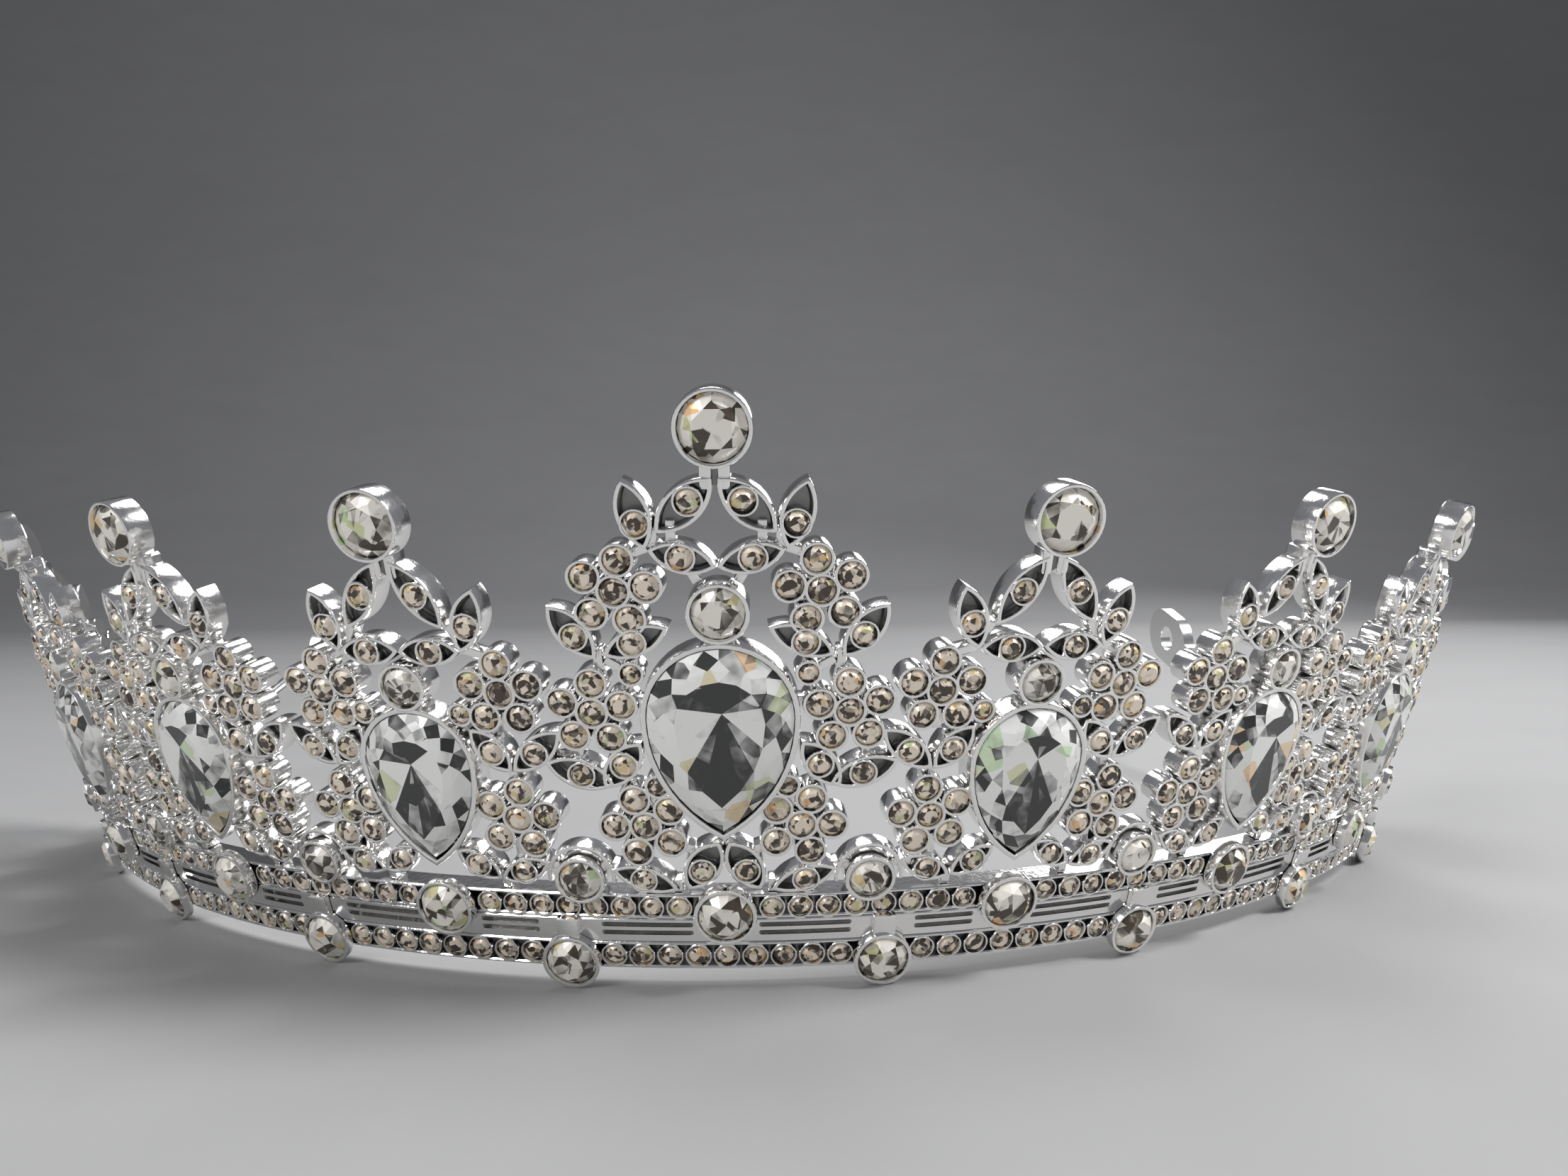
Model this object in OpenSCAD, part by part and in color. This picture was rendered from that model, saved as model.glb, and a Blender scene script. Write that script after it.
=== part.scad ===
// Bridal tiara: a flared half crown with nine jewelled peaks on a band,
// carried by two bare end rods with pierced tabs. Millimetres, +Z up.
// The origin is under the middle of the whole piece, on the surface it stands on.

/* [Band] */
// Radius of the band's front stretch in plan
front_radius = 82; // [78:1:86]
// Radius of the band's side stretches in plan
side_radius = 96; // [90:1:104]
// Radius of the band's last stretches in plan
end_radius = 34; // [31:1:38]
// Length along the foot of the wall from the middle to the side stretch
front_reach = 48; // [46.5:0.5:49]
// Length along the foot of the wall from the middle to the last stretch
side_reach = 70; // [69:0.5:71]
// Length along the foot of the wall from the middle to the band's end
band_reach = 96.5; // [94:0.5:99]
// Outward lean of the wall from upright
flare = 17; // [15:1:19]
// Depth of the cast metal behind the wall's middle surface
cast_back = 0.7; // [0.5:0.1:1]

/* [Peaks] */
// Length along the foot from the middle peak to the next one
first_pitch = 21; // [20.4:0.1:22]
// Length along the foot between the other peaks
pitch = 21.5; // [21:0.1:22.5]
// Height of the middle peak's crest up the wall
centre_crest_v = 42.7; // [41:0.1:45]
// Height of the other peaks' crests up the wall
side_crest_v = 36.7; // [36:0.1:39]
// Radius of a crest stone
crest_r = 2.3; // [2:0.05:2.6]
// Depth of a crest cup in front of the wall's middle surface
crest_rim = 2.2; // [1.6:0.1:2.8]

/* [Pear stones] */
// Half width of the middle pear setting
centre_pear_r = 5.6; // [5.2:0.1:5.8]
// Length from the middle pear's widest line down to its tip
centre_pear_tail = 9.6; // [9:0.1:10]
// Half width of the other pear settings
side_pear_r = 4.7; // [4.4:0.1:4.9]
// Length from the other pears' widest line down to their tips
side_pear_tail = 8.3; // [8:0.1:8.6]
// Wall of a pear setting
bezel_wall = 0.42; // [0.3:0.02:0.6]

/* [Round stones] */
// Radius of the hanging stones along the lower row
drop_r = 1.95; // [1.8:0.05:2.05]
// Radius of the stone at the foot of each peak
base_r = 2.05; // [1.9:0.05:2.15]
// Radius of the stones between the peaks
bridge_r = 1.6; // [1.5:0.05:1.7]
// Radius of the flower and leaf stones
petal_r = 0.98; // [0.9:0.02:1]
// Radius of the lower row's stones
lower_row_r = 0.88; // [0.8:0.02:0.95]
// Radius of the upper row's stones
upper_row_r = 0.85; // [0.78:0.02:0.92]
// Wall of the small cups
cup_wall = 0.24; // [0.2:0.02:0.3]
// Glue gap round a stone
seat_gap = 0.03; // [0.02:0.01:0.05]

/* [End rods] */
// Diameter of the end rods
rod_d = 1.8; // [1.5:0.1:2.2]
// Rise of the end rods towards the back
rod_rise = 20; // [14:1:24]
// Straight length of an end rod
rod_run = 34; // [28:1:40]
// Height of the end tabs
tab_h = 8.4; // [7.5:0.1:9.5]
// Length of the end tabs
tab_len = 12; // [11:0.5:14]
// Thickness of the end tabs
tab_t = 1.6; // [1.2:0.1:2]
// Diameter of the hole in an end tab
tab_hole_d = 4; // [3.2:0.1:4.4]

/* [Hidden] */
$fn = 48;

silver = "#d9dadc";
glass = "#cfc6b4";
deg = 180 / PI;

// Heights up the wall of the band's lines
lower_row_v = 2.5;
upper_row_v = 6.75;
base_v = 6.45;
drop_v = 2.2;
bridge_v = 9.25;
rail_low_v = 3.66;
rail_high_v = 5.72;
gallery_low_v = 1.3;
gallery_high_v = 7.85;

// First place along the foot of the hanging stones and of the stones between peaks
first_drop = 11.6;
first_bridge = 10.3;

// Heights in front of the wall's middle surface
floor_w = 0.15;
rim_w = 1.1;
rail_w = 0.85;
groove_w = 0.35;
drop_rim_w = 1.7;
base_rim_w = 1.8;
bridge_rim_w = 1.5;
collet_rim_w = 1.6;
pear_rim_w = 1.5;

// Walls of the larger cups
big_wall = 0.3;
leaf_wall = 0.27;

// Flowers: five cups round a sixth
flower_ring = 2.24;
cup_r = petal_r + cup_wall;

// Collet stones
centre_collet_r = 1.88;
side_collet_r = 1.55;
centre_collet_v = 30.1;
side_collet_v = 24.6;

// Pear settings' widest lines
centre_pear_v = 22.4;
side_pear_v = 18.3;

// Channel lips, rail grooves and their clearance from the big stones
gallery_lip = 0.28;
groove_low_v = [4.35, 5.05];
groove_h = 0.34;
groove_clear = 2.4;

// Straps behind the band's joints
strap_len = 1.6;
strap_t = 0.6;
strap_inset = 0.2;

// Floor of the cups on the band's front
front_floor = 0.3;

// Girdle height and crown height of each kind of stone
row_stone = [0.6, 0.4];
petal_stone = [0.75, 0.4];
leaf_stone = [0.6, 0.35];
crest_stone = [1.2, 0.8];
collet_stone = [1.2, 0.6];
bridge_stone = [1.2, 0.65];
band_stone = [1.1, 0.8];

// The crest's stone stands on a raised seat
crest_seat = 0.6;

// Pear stones: the outer step's depth below the rim, the inner step's height above it and its inset
pear_step_down = 0.2;
pear_step_up = 0.6;
pear_step_in = 1.2;

// Struts between the ornaments
strut_wid = 0.7;
strut_w = 0.6;

// Neck under each crest cup: width, height, how far it hangs down, front face
neck_wid = 2;
neck_h = 1.6;
neck_hang = 1.2;
neck_w = 0.9;

// Tie from each drop cup up to the band: width, height, thickness, overlap with the cup's wall
drop_tie = [1.7, 1.75, 0.6];
drop_tie_lap = 0.1;

// Depth of the cuts that clear the bridge cups
bridge_cut = 4;

// End blocks on the band and necks on the end tabs
block_len = 1.4;
tab_neck = 1;

// The foot of the wall in plan: three arcs a side, tangent to each other
front_turn = front_reach / front_radius * deg;
side_turn = front_turn + (side_reach - front_reach) / side_radius * deg;
front_hub = [0, front_radius];
side_hub = arc_point(front_hub, front_radius, front_turn) - side_radius * outward(front_turn);
end_hub = arc_point(side_hub, side_radius, side_turn) - end_radius * outward(side_turn);

// The wall is raised so that the hanging cups' lowest rims are at Z = 0,
// and moved back so that the origin is under the middle of the whole piece
lift = drop_rim_w * sin(flare) - (drop_v - drop_r - big_wall) * cos(flare);
crest_front = (centre_crest_v + crest_r + big_wall) * sin(flare) + crest_rim * cos(flare);
rod_start_v = 6.5;
rod_heading = 96;
rod_plan_run = rod_run + tab_len + tab_neck;
tab_back = plan(band_reach)[1] + outward(heading(band_reach))[1] * rod_start_v * sin(flare)
    + cos(rod_rise) * rod_plan_run * sin(rod_heading);
shift_y = (crest_front - tab_back) / 2;

function outward(h) = [sin(h), -cos(h)];
function along(h) = [cos(h), sin(h)];
function arc_point(hub, r, h) = hub + r * outward(h);

// Heading of the foot, its radius and its plan position at length s from the middle
function heading_right(s) =
    s <= front_reach ? s / front_radius * deg :
    s <= side_reach ? front_turn + (s - front_reach) / side_radius * deg :
    side_turn + (s - side_reach) / end_radius * deg;
function heading(s) = sign(s) * heading_right(abs(s));
function foot_radius(s) =
    abs(s) <= front_reach ? front_radius : abs(s) <= side_reach ? side_radius : end_radius;
function plan_right(s) =
    s <= front_reach ? arc_point(front_hub, front_radius, heading_right(s)) :
    s <= side_reach ? arc_point(side_hub, side_radius, heading_right(s)) :
    arc_point(end_hub, end_radius, heading_right(s));
function plan(s) = [sign(s) * plan_right(abs(s))[0], plan_right(abs(s))[1]];

// How much longer the wall is at height v than at its foot, and the next joint outward
function stretch(s, v) = 1 + v * sin(flare) / foot_radius(s);
function next_joint(s) =
    abs(s) < front_reach ? front_reach : abs(s) < side_reach ? side_reach : 2 * band_reach;

// Place along the foot of a point that is u beside s at height v, past a joint where it must be
function beside(s, u, v) =
    let (near = (next_joint(s) - abs(s)) * stretch(s, v))
    u * s > 0 && abs(u) > near
        ? sign(s) * (next_joint(s) + (abs(u) - near) / stretch(next_joint(s) + seat_gap, v))
        : s + u / stretch(s, v);
function peak_s(k) = k == 0 ? 0 : sign(k) * (first_pitch + (abs(k) - 1) * pitch);

// Evenly spaced places between two larger stones, or up to a band end
function between(a, b, clear_a, clear_b, step) =
    let (room = b - a - clear_a - clear_b, gaps = floor(room / step + 0.01))
    [for (i = [0:gaps]) a + clear_a + room * i / gaps];
function mirrored(list) = concat(list, [for (s = list) -s]);

drops = [for (j = [0:3]) first_drop + j * pitch];
bridges = [for (j = [0:3]) first_bridge + j * pitch];
lower_row = concat(
    between(-first_drop, first_drop, 3.15, 3.15, 2.1),
    mirrored([for (j = [0:2], s = between(drops[j], drops[j + 1], 3.15, 3.15, 2.1)) s]),
    mirrored(between(drops[3], band_reach, 3.15, 1.6, 2.1)));
upper_row = concat(
    mirrored([for (k = [0:3], s = between(peak_s(k), peak_s(k + 1), 3.35, 3.35, 2.02)) s]),
    mirrored(between(peak_s(4), band_reach, 3.35, 1.6, 2.02)));

// Children's XY plane laid on the wall at length s and height v, Z pointing outward
module on_wall(s, v) {
    foot = plan(s) + outward(heading(s)) * v * sin(flare);
    translate([foot[0], foot[1] + shift_y, v * cos(flare) + lift])
        rotate([0, 0, heading(s)])
            rotate([90 + flare, 0, 0])
                children();
}

// The same beside peak k, with u measured on the wall and turned by angle a
module beside_peak(k, u, v, a = 0) {
    on_wall(beside(peak_s(k), u, v), v) rotate([0, 0, a]) children();
}

// A strip of the wall between two headings; the child is its section, depth by height
module strip_sector(hub, r, from_h, to_h) {
    translate([hub[0], hub[1] + shift_y, lift])
        rotate([0, 0, from_h - 90])
            rotate_extrude(angle = to_h - from_h, $fn = 180)
                translate([r, 0])
                    rotate(-flare)
                        children();
}

module right_strip(from_s, to_s) {
    if (from_s < front_reach)
        strip_sector(front_hub, front_radius, heading(from_s), heading(min(to_s, front_reach))) children();
    if (from_s < side_reach && to_s > front_reach)
        strip_sector(side_hub, side_radius, heading(max(from_s, front_reach)),
            heading(min(to_s, side_reach))) children();
    if (to_s > side_reach)
        strip_sector(end_hub, end_radius, heading(max(from_s, side_reach)), heading(to_s)) children();
}

// The whole band's length of one section, in five arcs with a hair's gap between them
module five_arcs() {
    gap = seat_gap / front_radius * deg;
    strip_sector(front_hub, front_radius, gap - front_turn, front_turn - gap) children();
    for (side = [0, 1])
        mirror([side, 0, 0]) {
            right_strip(front_reach, side_reach) children();
            right_strip(side_reach + seat_gap, band_reach) children();
        }
}

module straps(low, high) {
    for (side = [0, 1], s = [front_reach, side_reach])
        mirror([side, 0, 0])
            on_wall(s, low)
                translate([-strap_len / 2, strap_inset, -cast_back - strap_t / 2])
                    cube([strap_len, high - low - 2 * strap_inset, strap_t]);
}

// Outlines
module leaf_outline(len, wid, inset = 0) {
    rho = (len * len + wid * wid) / (4 * wid);
    intersection() {
        translate([0, rho - wid / 2]) circle(rho - inset);
        translate([0, wid / 2 - rho]) circle(rho - inset);
    }
}

module pear_outline(r, tail, inset = 0) {
    rho = (tail * tail + r * r) / (2 * r);
    circle(r - inset);
    intersection() {
        translate([rho - r, 0]) circle(rho - inset);
        translate([r - rho, 0]) circle(rho - inset);
        translate([-r, -tail]) square([2 * r, tail]);
    }
}

// A round cup with an open front
module cup(r, wall, rim, back = cast_back) {
    translate([0, 0, -back])
        difference() {
            cylinder(h = rim + back, r = r + wall);
            translate([0, 0, floor_w + back]) cylinder(h = rim, r = r);
        }
}

module leaf_cup(len, wid) {
    translate([0, 0, -cast_back])
        difference() {
            linear_extrude(rim_w + cast_back) leaf_outline(len, wid);
            translate([0, 0, floor_w + cast_back])
                linear_extrude(rim_w) leaf_outline(len, wid, leaf_wall);
        }
}

module strut(len) {
    translate([-len / 2, -strut_wid / 2, -cast_back]) cube([len, strut_wid, cast_back + strut_w]);
}

module flower_places(turn) {
    children();
    for (i = [0:4])
        rotate([0, 0, turn + 90 + 72 * i])
            translate([flower_ring, 0])
                children();
}

module flower_cups(turn) {
    difference() {
        translate([0, 0, -cast_back])
            linear_extrude(rim_w + cast_back)
                flower_places(turn) circle(cup_r);
        translate([0, 0, floor_w])
            linear_extrude(rim_w)
                flower_places(turn) circle(petal_r);
    }
}

module pear_bezel(r, tail) {
    difference() {
        translate([0, 0, -cast_back])
            linear_extrude(pear_rim_w + cast_back) pear_outline(r, tail);
        translate([0, 0, floor_w])
            linear_extrude(pear_rim_w) pear_outline(r, tail, bezel_wall);
    }
}

// A round stone: flat back, girdle and sloping crown, seated on a cup's floor
module round_stone(r, rise) {
    g = r - seat_gap;
    girdle = rise[0];
    top = rise[0] + rise[1];
    translate([0, 0, floor_w + seat_gap])
        rotate_extrude()
            polygon([[0, 0], [g * 0.6, 0], [g, girdle * 0.7], [g, girdle], [g * 0.55, top], [0, top]]);
}

module pear_stone(r, tail) {
    translate([0, 0, floor_w + seat_gap])
        linear_extrude(pear_rim_w - pear_step_down) pear_outline(r, tail, bezel_wall + seat_gap);
    translate([0, 0, floor_w + seat_gap])
        linear_extrude(pear_rim_w + pear_step_up) pear_outline(r, tail, bezel_wall + pear_step_in);
}

// Leaves of a peak, one side: u, v, angle, length and width, then the stone's own u and v
centre_leaves = [
    [2.1, 37.5, -43, 5.4, 2.6, 1.8, 37.8],
    [5.4, 36.9, 74, 5, 2.4, 5.3, 36.3],
    [2.3, 33.9, 15, 4.8, 2.2, 2.4, 33.95],
    [10.05, 28.7, 51, 5, 2.4, 9.9, 28.4],
    [5.65, 28, 156, 5.1, 2.2, 5.9, 27.9],
    [10.1, 17.9, 19, 5.3, 2.4, 10, 17.85],
    [7, 18.6, 129, 4.6, 2.4, 6.9, 18.6],
    [1.5, 10.4, -59, 4.6, 2.7, 1.6, 10],
    [5.8, 9.25, 19, 5.2, 2.1, 5.9, 9.25]];
side_leaves = [
    [2.2, 31.4, -56, 6, 2.4, 2.15, 31.4],
    [5.65, 29.5, 72, 5, 2.4, 5.6, 29.1],
    [2.4, 27.2, 0, 4.9, 2.3, 2.5, 27.2],
    [9.25, 19.6, 40, 5.1, 2.3, 9.1, 19.45],
    [5.8, 19.6, 130, 4.4, 2.3, 5.9, 19.5],
    [3.3, 10.1, 146, 4.1, 2.1, 3.25, 10.15],
    [6.9, 9.75, 22, 4.3, 2.1, 6.8, 9.7]];

// Flowers of a peak, one side: u, v and turn
centre_flowers = [[7, 31.6, 10], [9, 22.65, 3], [5.6, 13.7, -18]];
side_flowers = [[7.2, 24.05, 0], [7, 14.1, -10]];

// Single beads of a peak, one side: u and v
centre_beads = [[6.1, 25.6], [4.6, 16.9]];
side_beads = [[3.95, 22.4]];
bead_r = 0.72;

// Struts of a peak, one side: u, v, angle and length
centre_struts = [
    [3.05, 35.5, 90, 1.9], [4.3, 35.2, 90, 1.6], [1.75, 32.75, 60, 1.6],
    [5.6, 34.2, -20, 2], [8.45, 26.2, 90, 2.2], [10.3, 19.6, 90, 1.6], [7.2, 26, 30, 1.8], [6.1, 23.3, 0, 1.6],
    [4.9, 15.6, 80, 1.6], [3, 11.7, 20, 1.8], [6.4, 10.6, 90, 1.6], [8.4, 10, 10, 1.6],
    [3.5, 8.4, 90, 1.04], [6.2, 8.26, 90, 0.76]];
side_struts = [
    [4.3, 28.2, 120, 1.8], [5.7, 26.9, -15, 2], [5.5, 23, 20, 2], [7.1, 21.7, 90, 1.6],
    [7, 17, 90, 2], [4.7, 14.4, 0, 1.6], [6.5, 11.3, 90, 2], [8.6, 10, 0, 1.6], [1.6, 11.2, 120, 1.6],
    [4.95, 8.5, 90, 1.24]];

function leaves(k) = k == 0 ? centre_leaves : side_leaves;
function flowers(k) = k == 0 ? centre_flowers : side_flowers;
function beads(k) = k == 0 ? centre_beads : side_beads;
function struts(k) = k == 0 ? centre_struts : side_struts;
function crest_v(k) = k == 0 ? centre_crest_v : side_crest_v;
function collet_v(k) = k == 0 ? centre_collet_v : side_collet_v;
function collet_r(k) = k == 0 ? centre_collet_r : side_collet_r;
function pear_v(k) = k == 0 ? centre_pear_v : side_pear_v;
function pear_r(k) = k == 0 ? centre_pear_r : side_pear_r;
function pear_tail(k) = k == 0 ? centre_pear_tail : side_pear_tail;

// One peak's casting: crest cup and neck, collet cup, pear setting, leaves, flowers and struts
module peak_crown(k) {
    beside_peak(k, 0, crest_v(k)) cup(crest_r, big_wall, crest_rim);
    beside_peak(k, 0, crest_v(k) - crest_r - big_wall - neck_hang)
        translate([-neck_wid / 2, 0, -cast_back]) cube([neck_wid, neck_h, cast_back + neck_w]);
    beside_peak(k, 0, collet_v(k)) cup(collet_r(k), big_wall, collet_rim_w);
    beside_peak(k, 0, pear_v(k)) pear_bezel(pear_r(k), pear_tail(k));
}

module peak_side(k, side) {
    for (leaf = leaves(k))
        beside_peak(k, side * leaf[0], leaf[1], side * leaf[2]) leaf_cup(leaf[3], leaf[4]);
    for (f = flowers(k))
        beside_peak(k, side * f[0], f[1]) flower_cups(side * f[2]);
    for (b = beads(k))
        beside_peak(k, side * b[0], b[1]) cup(bead_r, cup_wall, rim_w);
    for (bar = struts(k))
        beside_peak(k, side * bar[0], bar[1], side * bar[2]) strut(bar[3]);
}

module peak(k) {
    color(silver) {
        peak_crown(k);
        peak_side(k, 1);
        peak_side(k, -1);
    }
}

module pear(k) {
    color(glass) beside_peak(k, 0, pear_v(k)) pear_stone(pear_r(k), pear_tail(k));
}

module crest(k) {
    color(glass)
        beside_peak(k, 0, crest_v(k)) translate([0, 0, crest_seat]) round_stone(crest_r, crest_stone);
}

module collet(k) {
    color(glass) beside_peak(k, 0, collet_v(k)) round_stone(collet_r(k), collet_stone);
}

module flower_stones(k) {
    color(glass)
        for (side = [1, -1], f = flowers(k))
            beside_peak(k, side * f[0], f[1])
                flower_places(side * f[2]) round_stone(petal_r, petal_stone);
}

module leaf_stones(k) {
    color(glass)
        for (side = [1, -1]) {
            for (leaf = leaves(k))
                beside_peak(k, side * leaf[5], leaf[6]) round_stone(petal_r - 0.1, leaf_stone);
            for (b = beads(k))
                beside_peak(k, side * b[0], b[1]) round_stone(bead_r, petal_stone);
        }
}

// Band: a channel for each row of stones and a grooved rail between them
module section(low, high, back, front) {
    translate([back, low]) square([front - back, high - low]);
}

module gallery(low, high) {
    five_arcs()
        difference() {
            section(low, high, -cast_back, rail_w);
            section(low + gallery_lip, high - gallery_lip, floor_w, rail_w + 1);
        }
    straps(low, high);
}

module rail_grooves() {
    marks = concat([0], [for (j = [0:3]) each [drops[j], peak_s(j + 1)]], [band_reach + 1]);
    for (side = [0, 1])
        mirror([side, 0, 0])
            for (i = [0:len(marks) - 2], low = groove_low_v)
                right_strip(marks[i] + groove_clear, marks[i + 1] - groove_clear)
                    section(low, low + groove_h, groove_w, rail_w + 1);
}

module band_rail() {
    color(silver)
        difference() {
            five_arcs()
                section(rail_low_v + seat_gap, rail_high_v - seat_gap, -cast_back, rail_w);
            rail_grooves();
        }
}

module lower_gallery() {
    color(silver) gallery(gallery_low_v, rail_low_v);
}

module upper_gallery() {
    color(silver)
        difference() {
            gallery(rail_high_v, gallery_high_v);
            for (s = mirrored(bridges))
                on_wall(s, bridge_v)
                    translate([0, 0, -bridge_cut / 2])
                        cylinder(h = bridge_cut, r = bridge_r + big_wall + seat_gap);
        }
}

// A round cup standing on the front of the band
module front_cup(r, rim) {
    translate([0, 0, rail_w + seat_gap])
        difference() {
            cylinder(h = rim - rail_w, r = r + big_wall);
            translate([0, 0, front_floor]) cylinder(h = rim, r = r);
        }
}

module front_stone(r) {
    translate([0, 0, rail_w + front_floor - floor_w]) round_stone(r, band_stone);
}

module drop_cups() {
    color(silver)
        for (s = mirrored(drops)) {
            on_wall(s, drop_v) front_cup(drop_r, drop_rim_w);
            on_wall(s, drop_v)
                translate([-drop_tie[0] / 2, drop_r + drop_tie_lap, rail_w + seat_gap]) cube(drop_tie);
        }
}

module drop_stones() {
    color(glass) for (s = mirrored(drops)) on_wall(s, drop_v) front_stone(drop_r);
}

module base_cups() {
    color(silver) for (k = [-4:4]) on_wall(peak_s(k), base_v) front_cup(base_r, base_rim_w);
}

module base_stones() {
    color(glass) for (k = [-4:4]) on_wall(peak_s(k), base_v) front_stone(base_r);
}

module bridge_cups() {
    color(silver)
        for (s = mirrored(bridges)) on_wall(s, bridge_v) cup(bridge_r, big_wall, bridge_rim_w);
}

module bridge_stones() {
    color(glass) for (s = mirrored(bridges)) on_wall(s, bridge_v) round_stone(bridge_r, bridge_stone);
}

module lower_row_stones() {
    color(glass) for (s = lower_row) on_wall(s, lower_row_v) round_stone(lower_row_r, row_stone);
}

module upper_row_stones() {
    color(glass) for (s = upper_row) on_wall(s, upper_row_v) round_stone(upper_row_r, row_stone);
}

// End rods: a block soldered on the band's end and a straight rod rising from it
module rod_frame() {
    h = heading(band_reach);
    start = plan(band_reach) + outward(h) * rod_start_v * sin(flare);
    translate([start[0], start[1] + shift_y, rod_start_v * cos(flare) + lift])
        rotate([rod_rise, 0, 0])
            rotate([0, 0, rod_heading])
                children();
}

module end_rod() {
    color(silver) {
        on_wall(band_reach, 0)
            translate([seat_gap, gallery_low_v, -cast_back])
                cube([block_len, gallery_high_v - gallery_low_v, rail_w + cast_back]);
        rod_frame()
            translate([block_len / 2, 0, 0])
                rotate([0, 90, 0])
                    cylinder(h = rod_run - block_len / 2, r = rod_d / 2);
    }
}

module end_tab() {
    color(silver)
        rod_frame()
            translate([rod_run + tab_neck + seat_gap, tab_t / 2, 0])
                rotate([90, 0, 0])
                    linear_extrude(tab_t)
                        difference() {
                            union() {
                                translate([-tab_neck, -rod_d * 0.75]) square([tab_neck + 1, rod_d * 1.5]);
                                translate([tab_h / 2, 0]) circle(tab_h / 2);
                                translate([tab_len - tab_h / 2, 0]) circle(tab_h / 2);
                                translate([tab_h / 2, -tab_h / 2]) square([tab_len - tab_h, tab_h]);
                            }
                            translate([tab_len / 2, 0]) circle(tab_hole_d / 2);
                        }
}

band_rail();
lower_gallery();
upper_gallery();
drop_cups();
base_cups();
bridge_cups();
peak(0);  // peak_centre
peak(-1);  // peak_left_1
peak(-2);  // peak_left_2
peak(-3);  // peak_left_3
peak(-4);  // peak_left_4
peak(1);  // peak_right_1
peak(2);  // peak_right_2
peak(3);  // peak_right_3
peak(4);  // peak_right_4
pear(0);  // pear_stone_centre
pear(-1);  // pear_stone_left_1
pear(-2);  // pear_stone_left_2
pear(-3);  // pear_stone_left_3
pear(-4);  // pear_stone_left_4
pear(1);  // pear_stone_right_1
pear(2);  // pear_stone_right_2
pear(3);  // pear_stone_right_3
pear(4);  // pear_stone_right_4
crest(0);  // crest_stone_centre
crest(-1);  // crest_stone_left_1
crest(-2);  // crest_stone_left_2
crest(-3);  // crest_stone_left_3
crest(-4);  // crest_stone_left_4
crest(1);  // crest_stone_right_1
crest(2);  // crest_stone_right_2
crest(3);  // crest_stone_right_3
crest(4);  // crest_stone_right_4
collet(0);  // collet_stone_centre
collet(-1);  // collet_stone_left_1
collet(-2);  // collet_stone_left_2
collet(-3);  // collet_stone_left_3
collet(-4);  // collet_stone_left_4
collet(1);  // collet_stone_right_1
collet(2);  // collet_stone_right_2
collet(3);  // collet_stone_right_3
collet(4);  // collet_stone_right_4
drop_stones();
base_stones();
bridge_stones();
lower_row_stones();
upper_row_stones();
flower_stones(0);  // flower_stones_centre
for (k = [-4:-1]) flower_stones(k);  // flower_stones_left
for (k = [1:4]) flower_stones(k);  // flower_stones_right
leaf_stones(0);  // leaf_stones_centre
for (k = [-4:-1]) leaf_stones(k);  // leaf_stones_left
for (k = [1:4]) leaf_stones(k);  // leaf_stones_right
mirror([1, 0, 0]) end_rod();  // end_rod_left
end_rod();  // end_rod_right
mirror([1, 0, 0]) end_tab();  // end_tab_left
end_tab();  // end_tab_right
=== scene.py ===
import math

import bpy
from mathutils import Matrix, Vector


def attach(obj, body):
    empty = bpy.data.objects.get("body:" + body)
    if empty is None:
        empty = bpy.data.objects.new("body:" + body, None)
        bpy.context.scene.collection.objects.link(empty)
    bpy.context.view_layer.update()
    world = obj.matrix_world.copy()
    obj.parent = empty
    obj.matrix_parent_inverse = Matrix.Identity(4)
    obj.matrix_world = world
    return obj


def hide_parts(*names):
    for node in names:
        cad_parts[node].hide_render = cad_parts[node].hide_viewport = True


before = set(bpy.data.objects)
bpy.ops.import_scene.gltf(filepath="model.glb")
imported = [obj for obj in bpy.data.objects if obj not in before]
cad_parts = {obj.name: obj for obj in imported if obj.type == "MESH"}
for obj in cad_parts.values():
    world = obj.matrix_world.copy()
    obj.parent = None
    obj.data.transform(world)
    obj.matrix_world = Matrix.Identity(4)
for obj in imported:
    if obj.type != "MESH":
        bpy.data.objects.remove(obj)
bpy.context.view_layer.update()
mm = 0.001
seatGap = 0.03  # between a stone and its cup, in millimetres

# The wall that carries every setting: a leaning strip bent in three arcs a side
wall = {
    "frontRadius": 82, "sideRadius": 96, "endRadius": 34,
    "frontReach": 48, "sideReach": 70, "bandReach": 96.5,
    "flare": 17,
    "lift": 0.5448, "shiftY": -40.2652,  # where the CAD puts the foot of the wall
    "castBack": 0.7,
    "firstPeak": 21, "peakPitch": 21.5,
    "joint": 0.03,  # gap where two arcs meet
}
flare = math.radians(wall["flare"])


def outward(heading):
    return Vector((math.sin(heading), -math.cos(heading), 0))


frontTurn = wall["frontReach"] / wall["frontRadius"]
sideTurn = frontTurn + (wall["sideReach"] - wall["frontReach"]) / wall["sideRadius"]
frontHub = Vector((0, wall["frontRadius"], 0))
sideHub = frontHub + outward(frontTurn) * (wall["frontRadius"] - wall["sideRadius"])
endHub = sideHub + outward(sideTurn) * (wall["sideRadius"] - wall["endRadius"])


def footOf(s):
    # plan position, heading and radius of the wall's foot, s along it from the middle
    reach = abs(s)
    if reach <= wall["frontReach"]:
        hub, radius, heading = frontHub, wall["frontRadius"], reach / wall["frontRadius"]
    elif reach <= wall["sideReach"]:
        hub, radius = sideHub, wall["sideRadius"]
        heading = frontTurn + (reach - wall["frontReach"]) / radius
    else:
        hub, radius = endHub, wall["endRadius"]
        heading = sideTurn + (reach - wall["sideReach"]) / radius
    place = hub + outward(heading) * radius
    side = -1 if s < 0 else 1
    return Vector((side * place.x, place.y, 0)), side * heading, radius


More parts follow.
